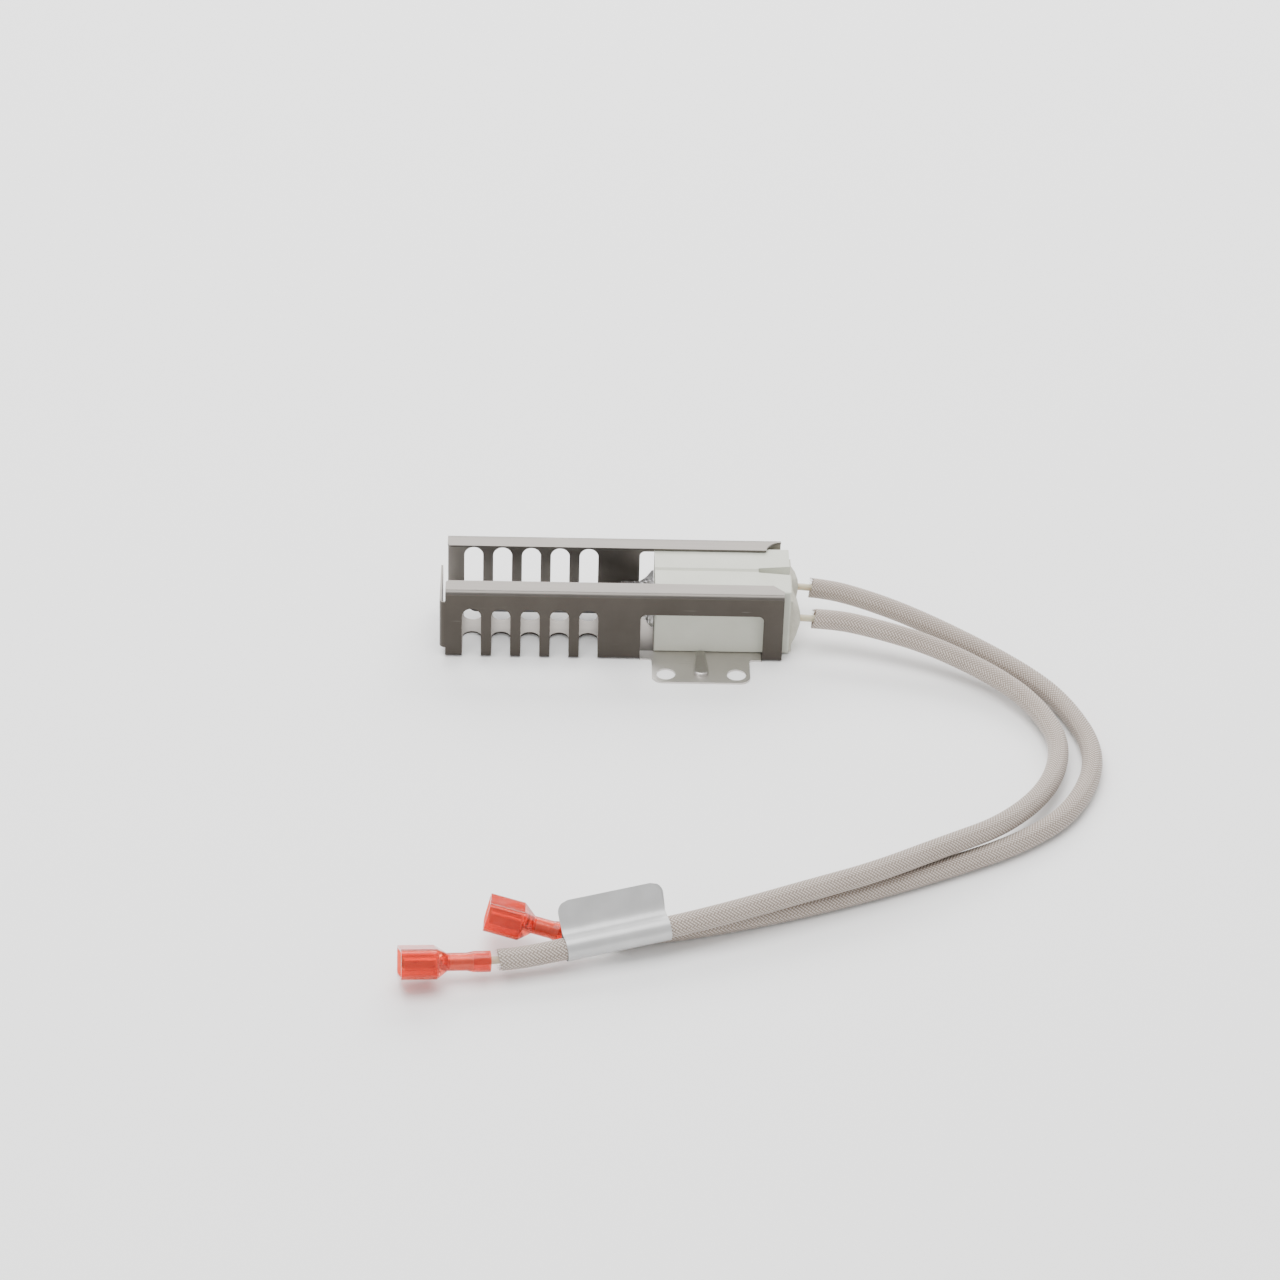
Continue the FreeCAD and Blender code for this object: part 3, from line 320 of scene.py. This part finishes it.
def creased_copy(name, node, crease_depth, seed):
    """The node's own shape with the dents that pliers leave."""
    bm = bmesh.new()
    bm.from_mesh(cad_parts[node].data)
    bmesh.ops.remove_doubles(bm, verts=bm.verts, dist=MERGE_WITHIN)
    for _ in range(CREASE_ROUNDS):
        long_edges = [edge for edge in bm.edges if edge.calc_length() > CREASE_STEP]
        bmesh.ops.subdivide_edges(bm, edges=long_edges, cuts=1)
        bmesh.ops.triangulate(bm, faces=bm.faces)
    bm.normal_update()
    for vert in bm.verts:
        dent = noise.noise(vert.co / CREASE_SIZE + Vector((seed, 0, 0)))
        free = min(1.0, max(0.0, (CLAMPED_FROM - vert.co.x) / CREASE_SIZE))
        vert.co += vert.normal * dent * crease_depth * free
    mesh = bpy.data.meshes.new(name)
    bm.to_mesh(mesh)
    bm.free()
    clip = bpy.data.objects.new(name, mesh)
    bpy.context.collection.objects.link(clip)
    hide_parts(node)
    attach(clip, "root")
    return clip


strip_finish = creased_strip()
for number, (side, crease_depth) in enumerate(CREASE_DEPTHS.items()):
    clip = creased_copy(f"clip_{side}", f"contact_clip_{side}", crease_depth, number)
    clip.data.materials.append(strip_finish)
    dress_node(f"lead_splice_{side}", strip_finish)


# ------------------------------------------------------------------ cement
# Ceramic cement, poured wet into both ends of the holder and drawn up round the leads as it
# set. It dries chalky and pitted, a little warmer than the holder.
def dried_cement():
    finish = Finish("dried_cement", {"Specular IOR Level": 0.25})
    lumps = finish.grain(0.0013, 4.0)
    pits = finish.spread(finish.grain(0.00035, 2.0), 0.34, 0.42)
    tone = finish.tint(lumps, (0.47, 0.455, 0.38, 1), (0.60, 0.585, 0.51, 1))
    return finish.wear(Base_Color=tone, Roughness=0.75 + lumps * 0.2,
                       Normal=finish.relief(lumps * 2 + pits, 0.00018, 0.8))


cement_finish = dried_cement()
for piece in ("front_cement", "rear_cement"):
    dress_node(piece, cement_finish)


# ------------------------------------------------------------------ leads
# Two stranded nickel leads in cream high-temperature insulation. Each leaves the cement level,
# sinks towards the table, turns back in one broad loop and runs to its terminal. The rear one
# all but touches the table, and the front one rides just above it.
WIRE_ACROSS = 1.85 * MM
ROUTE_STEPS = 24
ROUND_STEPS = 6
REAR_ROUTE = [
    (17.3, 28.4, 10.0),
    (31.0, 28.4, 10.0),
    (46.0, 22.4, 9.2),
    (61.0, 14.4, 7.3),
    (81.4, 0.0, 4.4),
    (93.2, -14.0, 3.1),
    (99.9, -37.4, 2.75),
    (91.4, -60.6, 2.75),
    (77.0, -74.2, 2.75),
    (59.0, -84.2, 2.75),
    (38.6, -94.4, 2.75),
    (15.0, -104.0, 2.75),
    (-6.0, -110.5, 2.75),
    (-18.5, -112.9, 2.75),
    (-29.3, -116.1, 3.5),
    (-40.4, -115.0, 6.3),
]
FRONT_ROUTE = [
    (17.3, 13.3, 10.0),
    (33.0, 13.3, 10.0),
    (46.0, 9.8, 9.2),
    (61.0, 4.4, 7.5),
    (78.5, -7.6, 5.0),
    (87.0, -20.0, 4.0),
    (90.6, -34.6, 3.7),
    (85.6, -54.0, 4.7),
    (73.0, -71.8, 6.6),
    (57.0, -83.0, 8.0),
    (39.3, -94.4, 8.35),
    (24.0, -101.4, 8.3),
    (8.0, -108.6, 7.9),
    (-8.0, -114.8, 7.25),
    (-36.0, -123.1, 5.8),
    (-49.3, -126.5, 5.0),
    (-60.2, -127.9, 5.7),
]
LEADS = {"rear": (REAR_ROUTE, 0.2838), "front": (FRONT_ROUTE, 0.2836)}


def lay_spline(name, route):
    """One open NURBS spline with the route's points as its control points."""
    curve = bpy.data.curves.new(name, "CURVE")
    curve.dimensions = "3D"
    spline = curve.splines.new("NURBS")
    spline.points.add(len(route) - 1)
    for knot, point in zip(spline.points, route):
        knot.co = (*(MM * number for number in point), 1.0)
    spline.order_u = 3
    spline.use_endpoint_u = True
    spline.resolution_u = ROUTE_STEPS
    return curve


def lead_insulation():
    finish = Finish("lead_insulation", {"Roughness": 0.45, "Subsurface Weight": 0.12})
    smudges = finish.grain(0.004, 3.0)
    fine = finish.grain(0.0003, 3.0)
    tone = finish.tint(smudges, (0.42, 0.365, 0.25, 1), (0.58, 0.53, 0.405, 1))
    return finish.wear(Base_Color=tone, Roughness=0.35 + fine * 0.25,
                       Normal=finish.relief(fine, 0.00003, 0.5))


wire_finish = lead_insulation()
centre_lines = {}
for side, (route, length) in LEADS.items():
    curve = lay_spline(f"lead_{side}", route)
    plain = bpy.data.objects.new(f"lead_line_{side}", curve)
    line = bpy.data.meshes.new_from_object(plain)
    centre_lines[side] = [point.co.copy() for point in line.vertices]
    bpy.data.objects.remove(plain)
    curve.bevel_depth = WIRE_ACROSS / 2
    curve.bevel_resolution = ROUND_STEPS
    curve.use_fill_caps = True
    curve.materials.append(wire_finish)
    wire = bpy.data.objects.new(f"lead_{side}", curve)
    bpy.context.collection.objects.link(wire)
    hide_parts(f"lead_wire_{side}")
    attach(wire, "root")


# ------------------------------------------------------------------ flag label
# A metallised polyester strip, wrapped once round the front lead's sleeve and folded on itself
# as a flag. It is blank, satin silver and a little rippled, and its rear half sits askew.
LABEL_LENGTH = 25.4 * MM
LABEL_FROM_END = 26.0 * MM
LABEL_TILT = math.radians(50.0)
WRAP_RADIUS = 2.90 * MM
FLAG_TIP = 11.15 * MM
FILM = 0.13 * MM
LAYER_GAP = 0.08 * MM
PART_ANGLE = math.radians(35.0)
CORNER = 2.9 * MM
ASKEW = 0.8 * MM
FLAG_ROWS = 16
WRAP_ROWS = 28
FLAG_COLUMNS = 40
RIPPLE_SIZE = 6 * MM
RIPPLE_DEPTH = 0.22 * MM
SHARP_FROM = math.radians(50)
LABEL_RUN = (13, 14)


class CentreLine:
    """A lead's line, read by distance, with a frame that doesn't twist."""

    def __init__(self, points):
        self.points = points
        self.marks = [0.0]
        for here, there in zip(points, points[1:]):
            self.marks.append(self.marks[-1] + (there - here).length)
        self.length = self.marks[-1]
        self.sides = []
        side = Vector((0, 0, 1))
        for here, there in zip(points, points[1:]):
            along = (there - here).normalized()
            side = (side - along * side.dot(along)).normalized()
            self.sides.append(side)
        self.sides.append(side)

    def at(self, distance):
        """The point there, the way along, and two directions across."""
        distance = min(max(distance, 0.0), self.length)
        step = max(0, min(len(self.marks) - 2, sum(mark < distance for mark in self.marks) - 1))
        share = (distance - self.marks[step]) / (self.marks[step + 1] - self.marks[step])
        point = self.points[step].lerp(self.points[step + 1], share)
        before = self.points[max(step - 1, 0)]
        after = self.points[min(step + 2, len(self.points) - 1)]
        along = (after - before).normalized()
        side = self.sides[step].lerp(self.sides[step + 1], share)
        side = (side - along * side.dot(along)).normalized()
        return point, along, side, along.cross(side)


def strip_section(row):
    """Where one row of the strip lies across the lead: outwards, sideways, and up the flag."""
    root = WRAP_RADIUS * math.cos(PART_ANGLE)
    rise = WRAP_RADIUS * math.sin(PART_ANGLE) - LAYER_GAP
    closing = rise * math.tan(PART_ANGLE)
    if FLAG_ROWS <= row <= FLAG_ROWS + WRAP_ROWS:
        share = (row - FLAG_ROWS) / WRAP_ROWS
        angle = PART_ANGLE + share * 2 * (math.pi - PART_ANGLE)
        return WRAP_RADIUS * math.cos(angle), WRAP_RADIUS * math.sin(angle), 0.0
    front = row < FLAG_ROWS
    steps = FLAG_ROWS - row if front else row - FLAG_ROWS - WRAP_ROWS
    out = root + (FLAG_TIP - root) * steps / FLAG_ROWS
    apart = LAYER_GAP + rise * math.exp((root - out) / closing)
    return out, apart if front else -apart, steps / FLAG_ROWS


def make_flag_label(line, heading):
    """The whole strip as one sheet, bent round the lead, with round corners on both ends."""
    origin = line.at(line.length - LABEL_FROM_END)[0]
    level = (Vector((0, 0, 1)) - heading * heading.z).normalized()
    sideways = level.cross(heading)
    outwards = sideways * math.cos(LABEL_TILT) + level * math.sin(LABEL_TILT)
    facing = heading.cross(outwards)
    rows = 2 * FLAG_ROWS + WRAP_ROWS
    bm = bmesh.new()
    bmesh.ops.create_grid(bm, x_segments=FLAG_COLUMNS, y_segments=rows, size=0.5)
    for vert in bm.verts:
        row = round((vert.co.y + 0.5) * rows)
        out, aside, up_flag = strip_section(row)
        from_tip = FLAG_TIP - out if up_flag else CORNER
        inset = max(0.0, CORNER - from_tip)
        trim = CORNER - math.sqrt(CORNER ** 2 - inset ** 2)
        along = LABEL_LENGTH / 2 + vert.co.x * (LABEL_LENGTH - 2 * trim)
        if row > rows / 2:
            along += ASKEW * up_flag
        ripple = noise.noise(Vector((along, out, 0)) / RIPPLE_SIZE) * RIPPLE_DEPTH * up_flag
        vert.co = origin + heading * along + outwards * out + facing * (aside + ripple)
    bmesh.ops.recalc_face_normals(bm, faces=bm.faces)
    bmesh.ops.solidify(bm, geom=bm.faces[:], thickness=FILM)
    bmesh.ops.recalc_face_normals(bm, faces=bm.faces)
    mesh = bpy.data.meshes.new("flag_label_film")
    bm.to_mesh(mesh)
    bm.free()
    mesh.shade_smooth()
    mesh.set_sharp_from_angle(angle=SHARP_FROM)
    film = bpy.data.objects.new("flag_label_film", mesh)
    bpy.context.collection.objects.link(film)
    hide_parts("flag_label")
    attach(film, "root")
    return film


def silver_film():
    finish = Finish("silver_film", {"Metallic": 0.55, "Coat Weight": 0.2, "Coat Roughness": 0.3})
    ripples = finish.grain(0.005, 2.0, (1, 0.6, 1))
    satin = finish.grain(0.0003, 3.0)
    tone = finish.tint(ripples, grey(0.42), grey(0.54))
    return finish.wear(Base_Color=tone, Roughness=0.34 + satin * 0.12,
                       Normal=finish.relief(ripples + satin * 0.05, 0.0002, 0.5))


front_line = CentreLine(centre_lines["front"])
run_start, run_end = (Vector(FRONT_ROUTE[number]) for number in LABEL_RUN)
label_film = make_flag_label(front_line, (run_start - run_end).normalized())
label_film.data.materials.append(silver_film())


# ------------------------------------------------------------------ woven sleeves
# Braided glass-fibre sleeving, slipped over each lead and left loose. Flat yarns cross over and
# under on the slant, and both ends are cut a little askew and fray into short bristles. The
# front sleeve carries the label, and each lead ends in a terminal.
SLEEVE_ACROSS = 5.3 * MM
YARN_HEIGHT = 0.16 * MM
YARNS_ROUND = 18
YARN_CROWN = 0.7
LIFT_UNDER = 0.55
LIFT_OVER = 0.45
POINTS_PER_YARN = 4
SLEEVE_BORE = 3.7 * MM
END_DEPTH = 3.0 * MM
CUT_SLANT = 0.5 * MM
CUT_ROWS = 12
JOIN_WITHIN = 0.01 * MM
LIP_LIFT = 0.4
BRISTLES = 46
BRISTLE_RING = (0.40, 0.07)
BRISTLE_INSET = 0.5 * MM
BRISTLE_SHORTEST = 0.4
BRISTLE_SPREAD = 0.6
BRISTLE_LEAN = (-0.25, 0.45)
BRISTLE_SWAY = (-0.5, 0.5)
BRISTLE_SEED_STEP = 10
BRISTLE_ROOT = 0.055 * MM
BRISTLE_TIP = 0.02 * MM
BRISTLE_BURIED = 0.6 * MM
CORD_STEPS = 300
SLEEVE_REACH = {"rear": (12.1 * MM, 18.0 * MM), "front": (12.1 * MM, 10.2 * MM)}


def yarn_lift(left, right):
    """Height from 0 to 1 of a plain braid, where left and right count the yarns of each hand."""
    across_left = left % 1.0
    across_right = right % 1.0
    if (math.floor(left) + math.floor(right)) % 2:
        across_left, across_right = across_right, across_left
    ridge = math.sin(math.pi * across_left) ** YARN_CROWN
    return ridge * (LIFT_UNDER + LIFT_OVER * math.sin(math.pi * across_right))


def braid_sleeve(name, line, start, stop):
    """A braided tube round a line from start to stop, with a mouth at each end."""
    around = YARNS_ROUND * POINTS_PER_YARN
    yarn = math.pi * SLEEVE_ACROSS / YARNS_ROUND
    rows = round((stop - start) / yarn * POINTS_PER_YARN)
    bm = bmesh.new()
    bmesh.ops.create_grid(bm, x_segments=around, y_segments=rows, size=0.5)
    lift_layer = bm.verts.layers.float.new("yarn_lift")
    frames = [line.at(start + (stop - start) * row / rows) for row in range(rows + 1)]
    for vert in bm.verts:
        turn = vert.co.x + 0.5
        row = round((vert.co.y + 0.5) * rows)
        point, along, side, across = frames[row]
        angle = 2 * math.pi * turn
        left = YARNS_ROUND * turn + row / POINTS_PER_YARN
        right = YARNS_ROUND * turn - row / POINTS_PER_YARN
        lift = yarn_lift(left, right)
        vert[lift_layer] = lift
        radius = SLEEVE_ACROSS / 2 - YARN_HEIGHT * (1 - lift)
        askew = CUT_SLANT * math.cos(angle) * max(0.0, 1 - row / CUT_ROWS, 1 - (rows - row) / CUT_ROWS)
        outward = side * math.cos(angle) + across * math.sin(angle)
        vert.co = point + outward * radius + along * askew
    bmesh.ops.remove_doubles(bm, verts=bm.verts, dist=JOIN_WITHIN)
    for end, way in ((start, 1), (stop, -1)):
        point, along, *_ = line.at(end)
        near = [edge for edge in bm.edges if edge.is_boundary
                and all((vert.co - point).length < SLEEVE_ACROSS for vert in edge.verts)]
        lip = bmesh.ops.extrude_edge_only(bm, edges=near)["geom"]
        lip_verts = [item for item in lip if isinstance(item, bmesh.types.BMVert)]
        shrink = SLEEVE_BORE / SLEEVE_ACROSS
        for vert in lip_verts:
            flat = (vert.co - point) - along * (vert.co - point).dot(along)
            vert.co -= flat * (1 - shrink)
            vert[lift_layer] = LIP_LIFT
        rim = [item for item in lip if isinstance(item, bmesh.types.BMEdge)
               and all(vert in lip_verts for vert in item.verts)]
        deep = bmesh.ops.extrude_edge_only(bm, edges=rim)["geom"]
        deep_verts = [item for item in deep if isinstance(item, bmesh.types.BMVert)]
        inner = line.at(end + way * END_DEPTH)[0]
        for vert in deep_verts:
            vert.co += inner - point
            # A lift of 0 gives the bore inside the mouth the painted shade of the gaps between yarns.
            vert[lift_layer] = 0.0
        last = [item for item in deep if isinstance(item, bmesh.types.BMEdge)
                and all(vert in deep_verts for vert in item.verts)]
        bmesh.ops.contextual_create(bm, geom=last)
    bmesh.ops.triangulate(bm, faces=[face for face in bm.faces if len(face.verts) > 4])
    bmesh.ops.recalc_face_normals(bm, faces=bm.faces)
    mesh = bpy.data.meshes.new(name)
    bm.to_mesh(mesh)
    bm.free()
    mesh.shade_smooth()
    sleeve = bpy.data.objects.new(name, mesh)
    bpy.context.collection.objects.link(sleeve)
    return sleeve


def fray(name, line, end, way, seed):
    """A ring of short loose bristles at a cut end."""
    dice = random.Random(seed)
    point, along, side, across = line.at(end)
    bm = bmesh.new()
    for _ in range(BRISTLES):
        angle = 2 * math.pi * dice.random()
        outward = side * math.cos(angle) + across * math.sin(angle)
        nearest, band = BRISTLE_RING
        ring = SLEEVE_ACROSS * (nearest + band * dice.random())
        root = point + outward * ring + along * way * BRISTLE_INSET
        reach = (BRISTLE_SHORTEST + BRISTLE_SPREAD * dice.random()) * MM
        lean = (-along * way + outward * dice.uniform(*BRISTLE_LEAN)
                + along.cross(outward) * dice.uniform(*BRISTLE_SWAY)).normalized()
        turn = lean.to_track_quat("Z", "X").to_matrix().to_4x4()
        place = Matrix.Translation(root + lean * reach / 2) @ turn
        bmesh.ops.create_cone(bm, cap_ends=True, segments=4, radius1=BRISTLE_ROOT, radius2=BRISTLE_TIP,
                              depth=reach + BRISTLE_BURIED, matrix=place)
    mesh = bpy.data.meshes.new(name)
    bm.to_mesh(mesh)
    bm.free()
    bristles = bpy.data.objects.new(name, mesh)
    bpy.context.collection.objects.link(bristles)
    return bristles


def braided_glass_painted_shade():
    finish = Finish("braided_glass_painted_shade", {"Specular IOR Level": 0.35, "Sheen Weight": 0.25,
                                      "Sheen Roughness": 0.4})
    lift = finish.node("ShaderNodeAttribute", {"attribute_name": "yarn_lift"}, {}, "Fac")
    drift = finish.grain(0.009, 3.0)
    fibres = finish.grain(0.00012, 3.0)
    crowns = finish.spread(lift, 0.45, 0.95)
    # The low gaps between yarns, and the bore inside each mouth where the lift is 0, get a painted
    # brown shade; the yarn crowns keep the yarns' own cream.
    gap_painted_shade = finish.tint(drift, (0.20, 0.155, 0.125, 1), (0.27, 0.22, 0.185, 1))
    tone = finish.tint(crowns * (0.75 + fibres * 0.5), gap_painted_shade, (0.66, 0.60, 0.545, 1))
    return finish.wear(Base_Color=tone, Roughness=0.78 - crowns * 0.30,
                       Normal=finish.relief(fibres, 0.00006, 0.6))


sleeve_finish = braided_glass_painted_shade()
for side, (_, length) in LEADS.items():
    line = CentreLine(centre_lines[side])
    first, last = SLEEVE_REACH[side]
    sleeve = braid_sleeve(f"sleeve_{side}", line, first, line.length - last)
    sleeve.data.materials.append(sleeve_finish)
    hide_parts(f"lead_sleeve_{side}")
    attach(sleeve, "root")
    bristles = [fray(f"fray_holder_{side}", line, first, 1, len(side)),
                fray(f"fray_terminal_{side}", line, line.length - last, -1,
                     len(side) + BRISTLE_SEED_STEP)]
    for tuft in bristles:
        # The bristles carry no yarn_lift, so they take the painted gap shade all over.
        tuft.data.materials.append(sleeve_finish)
        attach(tuft, "root")
    reach = line.length - last - first
    covered = [line.at(first + reach * step / CORD_STEPS)[0] for step in range(CORD_STEPS + 1)]
    on_sleeve = list(bristles)
    if side == "front":
        on_sleeve.append(label_film)


# ------------------------------------------------------------------ terminals
# Fully insulated push-on terminals for a 6.35 mm tab. The shell is moulded in clear red nylon,
# so the stamped brass receptacle and the tinned ferrule in its barrel glow through it.
def red_nylon():
    finish = Finish("red_nylon", {"IOR": 1.35, "Transmission Weight": 0.85})
    swirl = finish.grain(0.004, 3.0)
    tone = finish.tint(swirl, (0.86, 0.10, 0.06, 1), (0.95, 0.17, 0.10, 1))
    fine = finish.grain(0.0006, 3.0)
    return finish.wear(Base_Color=tone, Roughness=0.06 + fine * 0.12,
                       Normal=finish.relief(swirl, 0.0003, 0.25))


def brass_strip():
    finish = Finish("brass_strip", {"Metallic": 1.0})
    marks = finish.grain(0.0007, 3.0, (0.2, 1, 1))
    tone = finish.tint(marks, (0.62, 0.43, 0.17, 1), (0.83, 0.65, 0.33, 1))
    return finish.wear(Base_Color=tone, Roughness=0.22 + marks * 0.15,
                       Normal=finish.relief(marks, 0.00002, 0.5))


def tinned_copper():
    finish = Finish("tinned_copper", {"Metallic": 1.0})
    marks = finish.grain(0.0006, 3.0)
    tone = finish.tint(marks, (0.60, 0.56, 0.50, 1), (0.80, 0.77, 0.72, 1))
    return finish.wear(Base_Color=tone, Roughness=0.25 + marks * 0.2,
                       Normal=finish.relief(marks, 0.00002, 0.5))


nylon_finish = red_nylon()
brass_finish = brass_strip()
tin_finish = tinned_copper()
for side in LEADS:
    dress_node(f"terminal_shell_{side}", nylon_finish)
    dress_node(f"terminal_receptacle_{side}", brass_finish)
    dress_node(f"terminal_ferrule_{side}", tin_finish)
